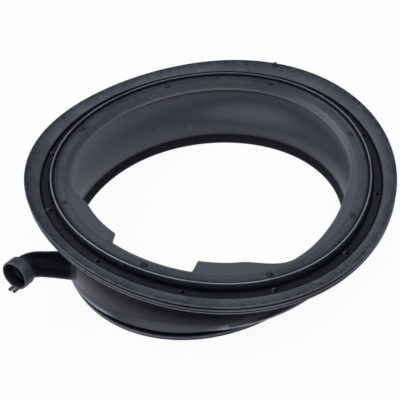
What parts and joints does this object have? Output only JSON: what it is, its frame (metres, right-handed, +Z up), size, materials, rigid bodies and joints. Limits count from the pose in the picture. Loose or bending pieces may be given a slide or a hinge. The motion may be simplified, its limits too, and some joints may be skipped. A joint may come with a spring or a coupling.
{
  "type": "washing machine door seal",
  "caption": "Moulded rubber ring with a channelled front lip, inner flaps, a bellows wall, a clamp groove at the rear and a bent side spout.",
  "frame": {"origin": "centre of the bounding box at the ground that the rear flange lies on", "axes": "+Z up towards the front lip, +X to the right across the opening, with the spout on the -X and -Y side"},
  "size_m": [0.4122, 0.3772, 0.0987],
  "materials": {
    "black_rubber": "satin, dark blue-grey black"
  },
  "bodies": {
    "root": {"door_seal": "black_rubber"}
  },
  "joints": []
}
